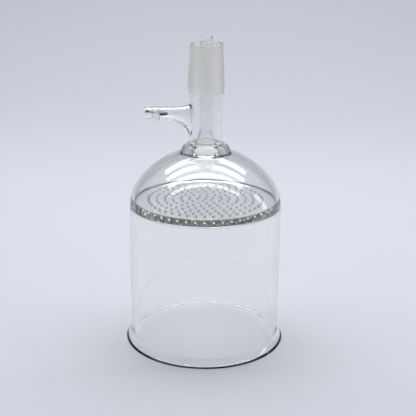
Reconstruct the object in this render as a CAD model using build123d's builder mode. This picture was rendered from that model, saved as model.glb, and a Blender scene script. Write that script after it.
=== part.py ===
from build123d import *
from math import cos, pi, radians, sin, sqrt, tan
import os

# All-glass vacuum filter funnel, stood on its mouth with the ground joint upwards.
# Millimetres. +Z up, origin on the funnel's axis at the foot of its lip, side arm towards -X.

# Bowl: a straight cylinder with a flared lip, its foot flat and its outer edge bevelled
bowl_radius = 50.0
bowl_wall = 3.0
bowl_depth = 94.8
lip_bend_radius = 8.0
lip_turn_outside = 62.5
lip_turn_inside = 51.6
lip_bevel = 0.9
lip_steps = 2

# Perforated plate, sealed in where the dome begins, with a sloping seam of glass on both sides
plate_thickness = 4.0
plate_seam = 1.8
hole_diameter = 1.8
hole_pitch = 5.35
hole_margin = 9.0
hole_sides = 5

# Dome: a round shoulder, which turns into a flatter spherical crown centred on the axis
shoulder_radius = 24.0
shoulder_turn = 33.0
shoulder_steps = 3
crown_steps = 5

# Ring seal: the thick bead where dome, neck and drip tube are fused
seal_radius = 6.0
seal_sides = 10

# Neck tube
neck_radius = 10.7
neck_wall = 1.6
neck_length = 36.7

# Ground cone, standard taper 24/29, with the shoulder under it
cone_large_diameter = 24.0
cone_length = 29.0
cone_taper = 1 / 10
cone_wall = 1.9
cone_shoulder_height = 3.6

# Drip tube: flared into the ring seal, its tip cut at a slant
drip_radius = 4.0
drip_wall = 1.0
drip_reach = 4.5
drip_slant = 26.0
flare_angle = 17.0
flare_height = 13.0
annulus_floor_height = 5.6

# Vacuum side arm: a tube with a wide root on the neck and a serrated hose end
arm_height = 24.0
arm_radius = 4.4
arm_wall = 1.4
arm_reach = 39.1
arm_tube_end = 25.0
barb_count = 3
barb_small_radius = 3.95
barb_large_radius = 4.6

# Root of the side arm: it drops and widens by one power of the way to the neck, and rises by another
root_start = 23.0
root_end = 7.5
root_drop = 15.0
root_spread = 2.6
root_power = 2.2
root_rise = 1.8
root_rise_power = 4
root_section_count = 5

# Places that follow from these sizes
half_wall = bowl_wall / 2
bend_x = bowl_radius - half_wall + lip_bend_radius
bend_outside = bend_x - bowl_radius
bend_inside = bend_outside + bowl_wall
bend_z = bend_inside * sin(radians(lip_turn_inside))
lip_radius = bend_x - bend_outside * cos(radians(lip_turn_outside))
plate_top = bowl_depth + plate_thickness
hole_ring_count = int((bowl_radius - bowl_wall - hole_margin) / hole_pitch)
shoulder_x = bowl_radius - shoulder_radius
crown_radius = shoulder_radius + shoulder_x / cos(radians(shoulder_turn))
crown_z = bowl_depth - shoulder_x * tan(radians(shoulder_turn))
seal_z = crown_z + sqrt(crown_radius**2 - neck_radius**2)
neck_bore = neck_radius - neck_wall
neck_top = seal_z + neck_length
cone_foot = neck_top + cone_shoulder_height
cone_top = cone_foot + cone_length
cone_large_radius = cone_large_diameter / 2
cone_small_radius = cone_large_radius - cone_length * cone_taper / 2
drip_bore = drip_radius - drip_wall
drip_top = cone_top + drip_reach
flare_top = seal_z + flare_height
flare_slope = tan(radians(flare_angle))
chamber_middle = (plate_top + seal_z) / 2
annulus_floor = seal_z + annulus_floor_height
arm_z = seal_z + arm_height


def arc(x, z, radius, start, turn, steps):
    """Points along an arc, evenly spaced, its start left out. Angles in degrees."""
    angles = [radians(start + turn * step / steps) for step in range(1, steps + 1)]
    return [(x + radius * cos(angle), z + radius * sin(angle)) for angle in angles]


def wall_face(depth, lip_turn):
    """One face of the bowl's wall at a depth below its outside, from the axis down to the lip."""
    shoulder = (shoulder_x, bowl_depth, shoulder_radius - depth)
    crown = (0, crown_z, crown_radius - depth)
    bend = (bend_x, bend_z, bend_outside + depth)
    return [
        (0, crown_z + crown_radius - depth),
        *arc(*crown, 90, shoulder_turn - 90, crown_steps),
        *arc(*shoulder, shoulder_turn, -shoulder_turn, shoulder_steps),
        (bowl_radius - depth, bend_z),
        *arc(*bend, 180, lip_turn, lip_steps),
    ]


# Bowl and dome: one wall of even thickness, with the seam that holds the plate
with BuildPart() as bowl:
    with BuildSketch(Plane.XZ):
        with BuildLine():
            outside = wall_face(0, lip_turn_outside)
            inside = wall_face(bowl_wall, lip_turn_inside)
            foot = [(lip_radius, lip_bevel), (lip_radius - lip_bevel, 0)]
            Polyline(*outside, *foot, *reversed(inside), close=True)
        make_face()
        with BuildLine():
            seam_x = bowl_radius - bowl_wall - plate_seam
            Polyline(
                (bowl_radius - half_wall, bowl_depth - plate_seam - half_wall),
                (seam_x, bowl_depth),
                (seam_x, plate_top),
                (bowl_radius - half_wall, plate_top + plate_seam + half_wall),
                close=True,
            )
        make_face()
    revolve(axis=Axis.Z)

# Plate: a disc with rings of holes, set in the wall at its rim
with BuildPart() as plate:
    with BuildSketch(Plane.XY.offset(bowl_depth)):
        Circle(bowl_radius - half_wall)
        for ring in range(hole_ring_count + 1):
            with PolarLocations(ring * hole_pitch, max(1, round(2 * pi * ring))):
                RegularPolygon(hole_diameter / 2, hole_sides, mode=Mode.SUBTRACT)
    extrude(amount=plate_thickness)

# Stem: the bead of the ring seal, the neck and the ground cone, turned solid first
with BuildPart() as stem:
    with BuildSketch(Plane.XZ):
        with BuildLine():
            Polyline(
                (0, seal_z),
                (neck_radius, seal_z),
                (neck_radius, neck_top),
                (cone_large_radius, cone_foot),
                (cone_small_radius, cone_top),
                (0, cone_top),
                close=True,
            )
        make_face()
        with Locations((neck_radius, seal_z)):
            RegularPolygon(seal_radius, seal_sides)
        with Locations((0, crown_z)):
            Circle(crown_radius - half_wall, mode=Mode.SUBTRACT)
    revolve(axis=Axis.Z)

# End of the drip tube, which stands out of the cone and is cut at a slant
with BuildPart() as drip_tip:
    with BuildSketch(Plane.XY.offset(seal_z)):
        Circle(drip_radius)
    extrude(amount=drip_top - seal_z)
    tip_plane = Plane(
        origin=(drip_radius, 0, drip_top),
        z_dir=(-sin(radians(drip_slant)), 0, cos(radians(drip_slant))),
    )
    split(bisect_by=tip_plane, keep=Keep.BOTTOM)

# Annular space between the neck and the drip tube, open at the top of the cone
with BuildPart() as annulus:
    with BuildSketch(Plane.XZ):
        with BuildLine():
            Polyline(
                (drip_radius, cone_top),
                (drip_radius, flare_top),
                (drip_radius + flare_slope * (flare_top - annulus_floor), annulus_floor),
                (neck_bore, annulus_floor),
                (neck_bore, neck_top),
                (cone_large_radius - cone_wall, cone_foot),
                (cone_small_radius - cone_wall, cone_top),
                close=True,
            )
        make_face()
    revolve(axis=Axis.Z)

# Bore of the drip tube, widening through the ring seal into the dome
with BuildPart() as drip_way:
    with BuildSketch(Plane.XZ):
        with BuildLine():
            Polyline(
                (0, drip_top),
                (drip_bore, drip_top),
                (drip_bore, flare_top),
                (drip_bore + flare_slope * (flare_top - chamber_middle), chamber_middle),
                (0, chamber_middle),
                close=True,
            )
        make_face()
    revolve(axis=Axis.Z)


def arm_root(depth):
    """Sections of the side arm's wide root, at a depth below its outside: ellipses across the arm."""
    sections = []
    for section in range(root_section_count):
        way = section / (root_section_count - 1)
        spread = way**root_power
        x = -root_start + (root_start - root_end) * way
        top = arm_z + arm_radius - depth + root_rise * way**root_rise_power
        bottom = arm_z - arm_radius + depth - root_drop * spread
        with BuildSketch(Plane.YZ.offset(x)) as outline:
            with Locations((0, (top + bottom) / 2)):
                Ellipse(arm_radius - depth + root_spread * spread, (top - bottom) / 2)
        sections.append(outline.sketch)
    return sections


# Side arm: the root, a short tube and the hose end's barbs, solid first
with BuildPart() as side_arm:
    loft(arm_root(0), ruled=True)
    with BuildSketch(Plane.XZ):
        with BuildLine():
            barb_length = (arm_reach - arm_tube_end) / barb_count
            outline = [(-arm_reach, arm_z), (-arm_reach, arm_z + barb_small_radius)]
            for barb in range(barb_count):
                foot_x = -arm_reach + (barb + 1) * barb_length
                outline += [(foot_x, arm_z + barb_large_radius), (foot_x, arm_z + barb_small_radius)]
            outline[-1] = (-arm_tube_end, arm_z + arm_radius)
            outline += [(-root_start, arm_z + arm_radius), (-root_start, arm_z)]
            Polyline(*outline, close=True)
        make_face()
    revolve(axis=Axis((0, 0, arm_z), (1, 0, 0)))

# Way through the side arm into the neck
with BuildPart() as arm_way:
    loft(arm_root(arm_wall), ruled=True)
    with BuildSketch(Plane.YZ.offset(-arm_reach)):
        with Locations((0, arm_z)):
            Circle(arm_radius - arm_wall)
    extrude(amount=arm_reach - root_start)

# The funnel: all glass fused into one piece, then its ways opened
with BuildPart() as funnel:
    add(bowl.part)
    add(plate.part)
    add(stem.part)
    add(side_arm.part)
    add(annulus.part, mode=Mode.SUBTRACT)
    add(drip_tip.part)
    add(drip_way.part, mode=Mode.SUBTRACT)
    add(arm_way.part, mode=Mode.SUBTRACT)

os.makedirs("parts", exist_ok=True)
funnel.part.label = "funnel"
export_step(funnel.part, "parts/funnel.step")
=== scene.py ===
import math

import bmesh
import bpy
import numpy as np
from mathutils import Euler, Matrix
from mathutils.geometry import delaunay_2d_cdt


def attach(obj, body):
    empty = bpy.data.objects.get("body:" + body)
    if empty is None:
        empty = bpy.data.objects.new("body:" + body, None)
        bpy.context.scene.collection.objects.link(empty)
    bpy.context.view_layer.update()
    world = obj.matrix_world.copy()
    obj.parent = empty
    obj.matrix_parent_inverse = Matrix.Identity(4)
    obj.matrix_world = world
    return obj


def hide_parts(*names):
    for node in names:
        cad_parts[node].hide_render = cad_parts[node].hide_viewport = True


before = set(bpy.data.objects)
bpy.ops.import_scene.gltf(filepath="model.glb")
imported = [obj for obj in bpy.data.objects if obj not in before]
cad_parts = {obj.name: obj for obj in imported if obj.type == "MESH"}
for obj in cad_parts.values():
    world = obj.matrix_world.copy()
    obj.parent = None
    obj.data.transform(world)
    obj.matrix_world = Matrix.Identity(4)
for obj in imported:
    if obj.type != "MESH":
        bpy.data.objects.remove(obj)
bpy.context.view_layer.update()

# Turned body. The bowl, dome, ring seal, neck, ground cone and drip tube are one wall of clear
# borosilicate glass, worked in a lathe and fused. One profile runs from the plate's underside
# out round the lip, up over the cone, down the drip tube and back to the plate's upper side.
MM = 0.001
bowl_radius, bowl_wall, bowl_depth = 50.0, 3.0, 94.8
lip_radius, lip_mouth_radius, lip_bend = 53.5, 50.6, 6.5
plate_thickness, plate_rim_radius = 4.0, 42.2
shoulder_radius, crown_radius = 24.0, 55.0
seal_radius, seal_sink = 5.4, 1.0
neck_radius, neck_bore, neck_length = 10.7, 9.1, 36.7
cone_large_radius, cone_small_radius, cone_length, cone_wall = 12.0, 10.55, 29.0, 1.9
cone_shoulder = 3.6
drip_radius, drip_bore, drip_reach, drip_slant = 4.0, 3.0, 4.5, 26.0
flare_height, flare_floor, flare_floor_radius, flare_mouth_radius = 13.0, 5.6, 6.26, 7.76
segments = 144

bend_x = bowl_radius + lip_bend
bend_inside = lip_bend + bowl_wall
turn_outside = math.degrees(math.acos((bend_x - lip_radius) / lip_bend))
turn_inside = math.degrees(math.acos((bend_x - lip_mouth_radius) / bend_inside))
bend_z = bend_inside * math.sin(math.radians(turn_inside))
plate_top = bowl_depth + plate_thickness
shoulder_x = bowl_radius - shoulder_radius
shoulder_turn = math.degrees(math.acos(shoulder_x / (crown_radius - shoulder_radius)))
crown_z = bowl_depth - (crown_radius - shoulder_radius) * math.sin(math.radians(shoulder_turn))
seal_z = crown_z + math.sqrt(crown_radius**2 - neck_radius**2)
bead_z = seal_z - seal_sink
bead_far = math.hypot(neck_radius, bead_z - crown_z)
bead_share = (bead_far**2 + crown_radius**2 - seal_radius**2) / (2 * bead_far * crown_radius)
bead_edge = math.atan2(bead_z - crown_z, neck_radius) - math.acos(bead_share)
bead_start = math.degrees(math.atan2(
    crown_z + crown_radius * math.sin(bead_edge) - bead_z,
    crown_radius * math.cos(bead_edge) - neck_radius,
))
neck_top = seal_z + neck_length
cone_foot = neck_top + cone_shoulder
cone_top = cone_foot + cone_length
drip_top = cone_top + drip_reach


def arc(x, z, radius, start, turn, soft=0.0, steps=48):
    """Points (radius, height, softness) on an arc.

    Its centre plus the radius times the cosine and sine of even angles. Only its last point is softened.
    """
    angle = np.radians(start + turn * np.linspace(0, 1, steps + 1))
    points = np.stack([x + radius * np.cos(angle), z + radius * np.sin(angle), 0 * angle], 1)
    points[-1, 2] = soft
    return points


def softened(corners, step=0.05):
    """A path with its corners melted round, as heat leaves glass.

    Each point is the mean of the path over a window on both sides of it. The window is the corner's
    softness at the corner and shrinks by half a millimetre for each millimetre away from it.
    """
    corners = np.asarray(corners, float)
    at = np.r_[0, np.cumsum(np.hypot(*np.diff(corners[:, :2], axis=0).T))]
    s = np.linspace(0, at[-1], int(at[-1] / step) + 1)
    path = np.stack([np.interp(s, at, corners[:, 0]), np.interp(s, at, corners[:, 1])], 1)
    soft = corners[:, 2] > 0
    window = np.max(corners[soft, 2] - 0.5 * np.abs(s[:, None] - at[soft]), axis=1)
    window = np.clip(window, 1e-3, np.minimum(s, at[-1] - s) + 1e-3)
    total = np.vstack([np.zeros(2), np.cumsum((path[1:] + path[:-1]) / 2 * np.diff(s)[:, None], axis=0)])

    def area(where):
        return np.stack([np.interp(where, s, total[:, k]) for k in (0, 1)], 1)

    low, high = np.clip(s - window, 0, at[-1]), np.clip(s + window, 0, at[-1])
    melted = (area(high) - area(low)) / (high - low)[:, None]
    melted[[0, -1]] = path[[0, -1]]
    return s, melted, at


def spread_rows(s, path, turn_step=8.0, length_step=8.0, guard=1.0):
    """Places along a path for rings of vertices.

    They lie close where the path turns and a little past each turn, and wide where it is straight.
    """
    heading = np.unwrap(np.arctan2(*np.gradient(path, axis=0).T[::-1]))
    turning = np.abs(np.gradient(heading)) / np.radians(turn_step)
    width = int(guard / (s[1] - s[0]))
    near = np.convolve(turning, np.ones(width) / width, "same")
    density = np.maximum(turning, near) + (s[1] - s[0]) / length_step
    load = np.cumsum(density)
    return np.interp(np.linspace(load[0], load[-1], int(load[-1])), load, s)


def point(r, z, soft=0.0):
    """One corner of a profile: radius, height and softness."""
    return np.array([[r, z, soft]])


inner_shoulder = shoulder_radius - bowl_wall
inner_crown = crown_radius - bowl_wall
seam_turn = math.degrees(math.asin(plate_thickness / inner_shoulder))
mouth_turn = math.degrees(math.acos(flare_mouth_radius / inner_crown))
lip_arc = arc(bend_x, bend_z, lip_bend, 180 + turn_outside, -turn_outside)
lip_arc[0, 2] = 1.0
inner_arc = arc(0, crown_z, inner_crown, mouth_turn, shoulder_turn - mouth_turn)
inner_arc[0, 2] = 2.0
body_corners = np.vstack([
    point(plate_rim_radius, bowl_depth),
    point(bowl_radius - bowl_wall, bowl_depth, 1.6),
    point(bowl_radius - bowl_wall, bend_z),
    arc(bend_x, bend_z, bend_inside, 180, turn_inside, 0.5),
    point(lip_radius, 0, 1.3),
    lip_arc,
    arc(shoulder_x, bowl_depth, shoulder_radius, 0, shoulder_turn),
    arc(0, crown_z, crown_radius, shoulder_turn, math.degrees(bead_edge) - shoulder_turn, 1.6)[1:],
    arc(neck_radius, bead_z, seal_radius, bead_start, 90 - bead_start, 1.0)[1:],
    point(neck_radius, neck_top, 2.2),
    point(cone_large_radius, cone_foot, 1.8),
    point(cone_small_radius, cone_top, 0.7),
    point(cone_small_radius - cone_wall, cone_top, 0.7),
    point(cone_large_radius - cone_wall, cone_foot, 2.0),
    point(neck_bore, neck_top, 2.0),
    point(neck_bore, seal_z + flare_floor, 1.2),
    point(flare_floor_radius, seal_z + flare_floor, 0.9),
    point(drip_radius, seal_z + flare_height, 2.5),
    point(drip_radius, drip_top, 0.35),
    point(drip_bore, drip_top, 0.35),
    point(drip_bore, seal_z + flare_height, 2.5),
    inner_arc,
    arc(shoulder_x, bowl_depth, inner_shoulder, shoulder_turn, seam_turn - shoulder_turn, 1.6)[1:],
    point(plate_rim_radius, plate_top),
])
body_s, body_path, body_at = softened(body_corners)
body_rows = spread_rows(body_s, body_path)


def corner_at(r, z):
    """Where along the profile a corner lies."""
    return body_at[np.argmin(np.hypot(body_corners[:, 0] - r, body_corners[:, 1] - z))]


def window_rows(rows, low, high, count):
    """The rows with even ones in place of those between two places, and the even ones alone."""
    even = np.linspace(low, high, count + 1)
    beside = 0.3
    kept = rows[(rows < low - beside) | (rows > high + beside)]
    return np.sort(np.r_[kept, even]), even


# The side arm opens the neck in a window, where the rows are even: outside upwards, inside downwards.
window_steps = 20
outer_heights, inner_heights = np.array([139.2, 163.6]), np.array([162.4, 139.6])
outer_window = corner_at(neck_radius, neck_top) - (neck_top - outer_heights)
inner_window = corner_at(neck_bore, neck_top) + (neck_top - inner_heights)
body_rows, outer_even = window_rows(body_rows, *outer_window, window_steps)
body_rows, inner_even = window_rows(body_rows, *inner_window, window_steps)
body_profile = np.stack([np.interp(body_rows, body_s, body_path[:, k]) for k in (0, 1)], 1)

# The drip tube's tip is cut at a slant: heights near it shrink towards the low side.
slant_reach = 12.0
slant_from = cone_top - slant_reach
angles = 2 * np.pi * np.arange(segments) / segments
body_grid = np.stack([
    body_profile[:, :1] * np.cos(angles),
    body_profile[:, :1] * np.sin(angles),
    body_profile[:, 1:] + 0 * angles,
], 2)
from_axis = np.hypot(body_grid[..., 0], body_grid[..., 1])
on_tip = (body_grid[..., 2] > slant_from) & (from_axis < drip_radius + 0.2)
tip_drop = (drip_radius - body_grid[..., 0]) * math.tan(math.radians(drip_slant))
share = (body_grid[..., 2] - slant_from) / (drip_top - slant_from)
body_grid[..., 2] -= np.where(on_tip, tip_drop * share, 0)


def grid_faces(rows, columns, closed=True, skip=None):
    """Four-cornered faces of a grid of vertices, its columns closed in a ring or not.

    Those that skip marks are left out.
    """
    i, j = np.meshgrid(np.arange(rows - 1), np.arange(columns - (not closed)), indexing="ij")
    k = (j + 1) % columns
    low, high = i * columns, (i + 1) * columns
    faces = np.stack([low + j, low + k, high + k, high + j], -1)
    return faces[~skip] if skip is not None else faces.reshape(-1, 4)


# Side arm. A tube blown out of the neck: its root spreads over the neck like a trumpet and hangs
# lower than the tube, and its end is drawn into three barbs that hold a hose.
arm_z, arm_radius, arm_bore, arm_reach = 24.0 + seal_z, 4.4, 3.0, 39.1
root_start, barb_start, barb_pitch = 23.0, 25.0, 4.7
barb_small, barb_large = 3.9, 4.6
egg_fullness, root_leave, root_arrive, root_shorten = 0.22, 0.6, 9.3, 0.45
arm_columns = 32
first_column = segments // 2 - arm_columns // 2


def arm_root(neck, rows, tube, egg_width, egg_low, egg_high, rings=5, steps=22):
    """The skin between a window in the neck and the arm's tube, and the window's mask on the body.

    First rings on the neck's cylinder, straight steps in arc length and height from the window's edge
    to an egg-shaped curve, fuller at its top. Then cubic Bezier curves from the egg to the tube's
    circle, which leave along the neck's surface and arrive along the tube.
    """
    i0 = np.searchsorted(body_rows, rows[0] - 1e-6)
    count = len(rows) - 1
    side, end = np.arange(count), np.arange(arm_columns)
    up = np.r_[0 * end, side, 0 * end + count, count - side]
    rising = body_profile[i0 + count, 1] > body_profile[i0, 1]
    i = i0 + (up if rising else count - up)
    j = np.r_[end, 0 * side + arm_columns, arm_columns - end, 0 * side] + first_column
    rim = body_grid[i, j]
    wide = (angles[j] - np.pi) * neck
    middle = (rim[:, 2].min() + rim[:, 2].max()) / 2
    turn = np.arctan2((rim[:, 2] - middle) / np.ptp(rim[:, 2]), wide / np.ptp(wide))
    egg_middle, egg_half = (egg_low + egg_high) / 2, (egg_high - egg_low) / 2
    egg = np.stack([
        egg_width * np.cos(turn) * (1 + egg_fullness * np.sin(turn)),
        egg_middle + egg_half * np.sin(turn),
    ], 1)
    way = np.linspace(0, 1, rings + 1)[:, None, None]
    flat = (1 - way) * np.stack([wide, rim[:, 2]], 1) + way * egg
    angle = np.pi + flat[..., 0] / neck
    on_neck = np.stack([neck * np.cos(angle), neck * np.sin(angle), flat[..., 1]], -1)
    on_neck[0] = rim
    circle = np.stack([tube * np.cos(turn), arm_z + tube * np.sin(turn)], 1)
    shift = circle - egg
    drop = np.hypot(*shift.T)[:, None]
    p0 = on_neck[-1]
    along = np.stack([-np.sin(angle[-1]), np.cos(angle[-1]), 0 * turn], 1)
    p1 = p0 + root_leave * (shift[:, :1] * along + shift[:, 1:] * np.array([0, 0, 1]))
    p3 = np.stack([-root_start + 0 * turn, -circle[:, 0], circle[:, 1]], 1)
    p2 = p3 + (root_arrive - root_shorten * drop) * np.array([1, 0, 0])
    t = np.linspace(0, 1, steps + 1)[1:, None, None]
    trumpet = (1 - t) ** 3 * p0 + 3 * (1 - t) ** 2 * t * p1 + 3 * (1 - t) * t**2 * p2 + t**3 * p3
    mask = np.zeros((len(body_rows) - 1, segments), bool)
    mask[i0:i0 + count, first_column:first_column + arm_columns] = True
    return np.concatenate([on_neck, trumpet]), mask, turn


outer_root, outer_mask, arm_turn = arm_root(neck_radius, outer_even, arm_radius, 6.6, 140.0, 162.4)
inner_root, inner_mask, inner_turn = arm_root(neck_bore, inner_even, arm_bore, 4.9, 141.8, 161.2)
barb_count, barb_step, barb_soft = 3, 0.25, 0.2
barbs = [
    point(-arm_reach + barb_pitch * (barb + 1) - near, barb_large if near else barb_small, barb_soft)
    for barb in range(barb_count) for near in (barb_step, 0)
]
hose_corners = np.vstack([
    point(-root_start, arm_radius),
    point(-barb_start, arm_radius, 0.4),
    *barbs[::-1][1:],
    point(-arm_reach, barb_small, 0.5),
    point(-arm_reach, arm_bore, 0.5),
    point(-root_start, arm_bore),
])
hose_s, hose_path, _ = softened(hose_corners)
hose_rows = spread_rows(hose_s, hose_path, turn_step=12.0, length_step=2.5, guard=0.5)
hose_profile = np.stack([np.interp(hose_rows, hose_s, hose_path[:, k]) for k in (0, 1)], 1)


def hose_ring(turn, profile):
    """The arm's end, turned about the arm's axis by the same angles as its root's columns."""
    return np.stack([
        profile[:, :1] + 0 * turn,
        -profile[:, 1:] * np.cos(turn),
        arm_z + profile[:, 1:] * np.sin(turn),
    ], 2)


blend = np.linspace(0, 1, len(hose_profile))[:, None]
hose_grid = hose_ring((1 - blend) * arm_turn + blend * inner_turn, hose_profile)

# Perforated plate. A disc sealed across the bowl, with a hole in the middle and seven rings of
# holes about it, drilled at one pitch, their edges fire-polished. Its two faces are flat.
hole_radius, hole_pitch, hole_sides = 0.9, 5.35, 12
ring_phases = (-15, 4.5, -9.3, -1.7, 2.8, -3.5, -0.4)
hole_centres = [(0.0, 0.0)]
for ring, phase in enumerate(ring_phases, 1):
    count = round(2 * math.pi * ring)
    for hole in range(count):
        place = math.radians(phase - 90 + 360 * hole / count)
        hole_centres.append((ring * hole_pitch * math.cos(place), ring * hole_pitch * math.sin(place)))
hole_centres = np.array(hole_centres)
hole_turn = 2 * np.pi * np.arange(hole_sides) / hole_sides
edge = np.array([[1.25, 0], [1.05, 0], [0.94, 0.05], [hole_radius, 0.17]])
hole_profile = np.vstack([edge * [1, -1] + [0, plate_top], edge[::-1] + [0, bowl_depth]])
hole_grid = np.stack([
    hole_centres[:, None, None, 0] + hole_profile[:, :1] * np.cos(hole_turn),
    hole_centres[:, None, None, 1] + hole_profile[:, :1] * np.sin(hole_turn),
    np.broadcast_to(hole_profile[:, 1:], (len(hole_centres), len(hole_profile), hole_sides)),
], 3)


def plate_face(height, rim, hole_row):
    """One flat face of the plate: the triangles between its rim and the circles round its holes."""
    circles = hole_grid[:, hole_row, :, :2].reshape(-1, 2)
    flat = np.vstack([rim[:, :2], circles])
    rim_edges = [(k, (k + 1) % len(rim)) for k in range(len(rim))]
    start = len(rim) + hole_sides * np.arange(len(hole_centres))[:, None]
    loop = np.arange(hole_sides)
    hole_edges = np.stack([start + loop, start + (loop + 1) % hole_sides], -1).reshape(-1, 2)
    points, _, triangles, *_ = delaunay_2d_cdt(
        flat.tolist(), rim_edges + hole_edges.tolist(), [], 0, 1e-6, False
    )
    points, triangles = np.array(points), np.array(triangles)
    middle = points[triangles].mean(axis=1)
    apart = np.hypot(*(middle[:, None] - hole_centres).transpose(2, 0, 1)).min(axis=1)
    return np.c_[points, np.full(len(points), height)], triangles[apart > edge[0, 0] * 0.98]


lower_face = plate_face(bowl_depth, body_grid[0], -1)
upper_face = plate_face(plate_top, body_grid[-1], 0)

# Fused glass. All skins are welded into one closed surface, as the flame makes them one piece.
blocks, block_faces, start = [], [], 0
for grid, faces in (
    (body_grid, grid_faces(len(body_rows), segments, skip=outer_mask | inner_mask)),
    (outer_root, grid_faces(*outer_root.shape[:2])),
    (inner_root, grid_faces(*inner_root.shape[:2])),
    (hose_grid, grid_faces(*hose_grid.shape[:2])),
    *((hole, grid_faces(len(hole_profile), hole_sides)) for hole in hole_grid),
    lower_face,
    upper_face,
):
    vertices = np.asarray(grid).reshape(-1, 3)
    blocks.append(vertices)
    block_faces += (np.asarray(faces) + start).tolist()
    start += len(vertices)


def placed(name, data):
    """A new object of the scene that holds a mesh, a light or a camera."""
    holder = bpy.data.objects.new(name, data)
    bpy.context.scene.collection.objects.link(holder)
    return holder


weld_distance = 2e-6
glass_mesh = bpy.data.meshes.new("funnel_glass")
glass_mesh.from_pydata((np.vstack(blocks) * MM).tolist(), [], block_faces)
work = bmesh.new()
work.from_mesh(glass_mesh)
bmesh.ops.remove_doubles(work, verts=work.verts, dist=weld_distance)
bmesh.ops.recalc_face_normals(work, faces=work.faces)
work.to_mesh(glass_mesh)
work.free()
glass_mesh.shade_smooth()
funnel_glass = placed("funnel_glass", glass_mesh)

# Clear borosilicate glass: nearly colourless through the wall, faintly olive along its edges,
# where light travels through much of it. The cone's outside is ground to a fine matt surface.
glass = bpy.data.materials.new("clear_glass")
glass.use_nodes = True
nodes, links = glass.node_tree.nodes, glass.node_tree.links
shader = nodes["Principled BSDF"]
clear_tint, ground_tint = (0.985, 0.99, 0.985, 1), (0.975, 0.955, 0.90, 1)
shader.inputs["Base Color"].default_value = clear_tint
shader.inputs["IOR"].default_value = 1.474
shader.inputs["Transmission Weight"].default_value = 1.0
where = nodes.new("ShaderNodeTexCoord")
axes = nodes.new("ShaderNodeSeparateXYZ")
links.new(where.outputs["Object"], axes.inputs[0])


def math_node(operation, *values):
    """A Math node on numbers or sockets."""
    node = nodes.new("ShaderNodeMath")
    node.operation = operation
    for socket, value in zip(node.inputs, values):
        if isinstance(value, (int, float)):
            socket.default_value = value
        else:
            links.new(value, socket)
    return node.outputs[0]


def ramp_node(value, low, high):
    """A value spread evenly from 0 at low to 1 at high."""
    node = nodes.new("ShaderNodeMapRange")
    node.inputs["From Min"].default_value = low
    node.inputs["From Max"].default_value = high
    links.new(value, node.inputs["Value"])
    return node.outputs["Result"]


# The ground zone: outside the cone's bore, from its shoulder up to the bevel at its end
squares = [math_node("POWER", axes.outputs[axis], 2.0) for axis in "XY"]
outside = ramp_node(math_node("SQRT", math_node("ADD", *squares)), 10.35 * MM, 10.5 * MM)
above = ramp_node(axes.outputs["Z"], (neck_top + 0.6) * MM, (neck_top + 1.4) * MM)
below = ramp_node(axes.outputs["Z"], (cone_top - 0.5) * MM, (cone_top - 0.8) * MM)
ground = math_node("MULTIPLY", outside, math_node("MULTIPLY", above, below))
links.new(math_node("MULTIPLY", ground, 0.5), shader.inputs["Roughness"])
tint = nodes.new("ShaderNodeMix")
tint.data_type = "RGBA"
links.new(ground, tint.inputs["Factor"])
tint.inputs["A"].default_value = clear_tint
tint.inputs["B"].default_value = ground_tint
links.new(tint.outputs["Result"], shader.inputs["Base Color"])
absorb = nodes.new("ShaderNodeVolumeAbsorption")
absorb.inputs["Color"].default_value = (0.72, 0.84, 0.50, 1)
absorb.inputs["Density"].default_value = 6.0
links.new(absorb.outputs[0], nodes["Material Output"].inputs["Volume"])

# Shadow rays pass the glass straight and lose a little at each face, so its shadow is faint.
lit = nodes.new("ShaderNodeLightPath")
clear = nodes.new("ShaderNodeBsdfTransparent")
clear.inputs["Color"].default_value = (0.70, 0.705, 0.70, 1)
either = nodes.new("ShaderNodeMixShader")
links.new(lit.outputs["Is Shadow Ray"], either.inputs[0])
links.new(shader.outputs[0], either.inputs[1])
links.new(clear.outputs[0], either.inputs[2])
links.new(either.outputs[0], nodes["Material Output"].inputs["Surface"])
glass_mesh.materials.append(glass)
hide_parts("funnel")
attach(funnel_glass, "root")

# Studio floor and back. A sheet of pale cool-grey paper lies under the funnel, a tenth of a
# millimetre below its foot, and sweeps up in one bend behind it.
sweep_front, sweep_back, sweep_half, sweep_rise, sweep_bend = -1.4, 1.1, 1.8, 1.6, 0.5
paper_gap = 0.0001
bend_turn = np.linspace(0, np.pi / 2, 17)
bend_y = sweep_back - sweep_bend + sweep_bend * np.sin(bend_turn)
bend_height = sweep_bend * (1 - np.cos(bend_turn)) - paper_gap
sweep_y = np.r_[sweep_front, bend_y, sweep_back]
sweep_z = np.r_[-paper_gap, bend_height, sweep_rise]
sweep_x = [-sweep_half, sweep_half]
sweep_grid = np.stack(np.broadcast_arrays(sweep_x, sweep_y[:, None], sweep_z[:, None]), 2)
sweep_faces = grid_faces(len(sweep_y), 2, closed=False)
sweep_mesh = bpy.data.meshes.new("paper_sweep")
sweep_mesh.from_pydata(sweep_grid.reshape(-1, 3).tolist(), [], sweep_faces.tolist())
sweep_mesh.shade_smooth()
paper_sweep = placed("paper_sweep", sweep_mesh)


def matt(name, colour, gloss):
    """A plain matt material of one colour."""
    material = bpy.data.materials.new(name)
    material.use_nodes = True
    inputs = material.node_tree.nodes["Principled BSDF"].inputs
    inputs["Base Color"].default_value = (*colour, 1)
    inputs["Roughness"].default_value = 0.9
    inputs["Specular IOR Level"].default_value = gloss
    return material


sweep_mesh.materials.append(matt("sweep_paper", (0.535, 0.55, 0.60), 0.1))


def softbox(name, place, target, width, height, watts):
    """A rectangular soft light at a place, turned to face a target."""
    lamp = bpy.data.lights.new(name, "AREA")
    lamp.shape = "RECTANGLE"
    lamp.size, lamp.size_y = width, height
    lamp.energy = watts
    holder = placed(name, lamp)
    away = np.array(place, float) - np.array(target, float)
    holder.location = place
    azimuth = math.atan2(away[0], -away[1])
    tilt = math.atan2(math.hypot(away[0], away[1]), away[2])
    holder.rotation_euler = Euler((tilt, 0, azimuth))


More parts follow.
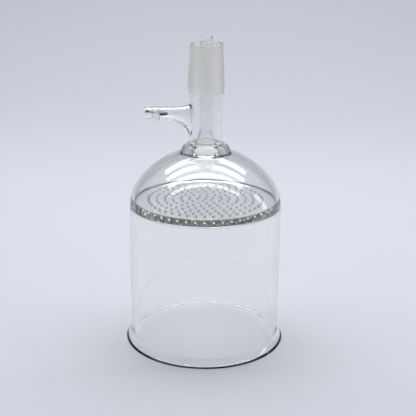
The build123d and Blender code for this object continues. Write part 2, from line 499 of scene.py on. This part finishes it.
# Lights. Four long ones hang side by side under the ceiling, which the dome mirrors as curved white
# bands, one lights the back of the paper, and a narrow one stands on the right.
heart = (0, 0, 0.12)
ceiling, light_length = 0.92, 1.5
for name, across, broad, watts in (
    ("ceiling_light_1", -0.17, 0.05, 1.9),
    ("ceiling_light_2", 0.07, 0.10, 3.5),
    ("ceiling_light_3", 0.33, 0.08, 2.6),
    ("ceiling_light_4", 0.68, 0.14, 4.2),
):
    softbox(name, (0, across, ceiling), heart, light_length, broad, watts)
softbox("wall_light", (0, 0.35, 1.2), (0, 1.1, 0.35), 1.6, 0.3, 3.8)
softbox("right_box", (1.2, 0.25, 0.45), heart, 0.12, 0.7, 1.0)

# Painted shade. A dark sheet stands in for the unlit room behind the camera: it hangs there, unseen but
# mirrored, and darkens the edges of narrow tubes.
shade_sheet_half, shade_sheet_y, shade_sheet_foot, shade_sheet_rise = 1.5, -1.5, -0.1, 0.9
shade_sheet_corners = [
    (-shade_sheet_half, shade_sheet_y, shade_sheet_foot),
    (shade_sheet_half, shade_sheet_y, shade_sheet_foot),
    (shade_sheet_half, shade_sheet_y, shade_sheet_rise),
    (-shade_sheet_half, shade_sheet_y, shade_sheet_rise),
]
shade_sheet_mesh = bpy.data.meshes.new("shade_sheet")
shade_sheet_mesh.from_pydata(shade_sheet_corners, [], [(0, 1, 2, 3)])
shade_sheet = placed("shade_sheet", shade_sheet_mesh)
shade_sheet.visible_camera = False
# Painted shade: the sheet's near-black colour stands for the darkness of the unlit room.
shade_sheet_mesh.materials.append(matt("shade_sheet_black", (0.10, 0.10, 0.11), 0.5))

# Room. A dim cool light from all round, which the camera sees as pale as the paper. Rays may cross
# many faces of glass before they leave it.
room = bpy.data.worlds.new("room")
bpy.context.scene.world = room
room.use_nodes = True
room_nodes, room_links = room.node_tree.nodes, room.node_tree.links
room_nodes["Background"].inputs["Color"].default_value = (0.9, 0.93, 1.0, 1)
seen = room_nodes.new("ShaderNodeLightPath")
level = room_nodes.new("ShaderNodeMapRange")
level.inputs["To Min"].default_value = 0.36
level.inputs["To Max"].default_value = 0.66
room_links.new(seen.outputs["Is Camera Ray"], level.inputs["Value"])
room_links.new(level.outputs["Result"], room_nodes["Background"].inputs["Strength"])
glass_bounces = 32
bpy.context.scene.view_settings.view_transform = "Standard"
bpy.context.scene.cycles.max_bounces = glass_bounces
bpy.context.scene.cycles.transmission_bounces = glass_bounces

# Camera. It has the photograph's place and lens: a little above the funnel and looking down at it.
photo_width, focal_pixels, sensor = 416, 995.6, 36.0
camera_data = bpy.data.cameras.new("camera")
camera_data.lens = sensor * focal_pixels / photo_width
camera_data.sensor_width = sensor
camera = placed("camera", camera_data)
camera.location = (1.8 * MM, -628.55 * MM, 299.05 * MM)
camera.rotation_mode = "QUATERNION"
look_down, lean = 18.25, 0.5
tilt, roll = Euler((math.radians(90 - look_down), 0, 0)), Euler((0, 0, math.radians(lean)))
camera.rotation_quaternion = tilt.to_quaternion() @ roll.to_quaternion()
bpy.context.scene.camera = camera
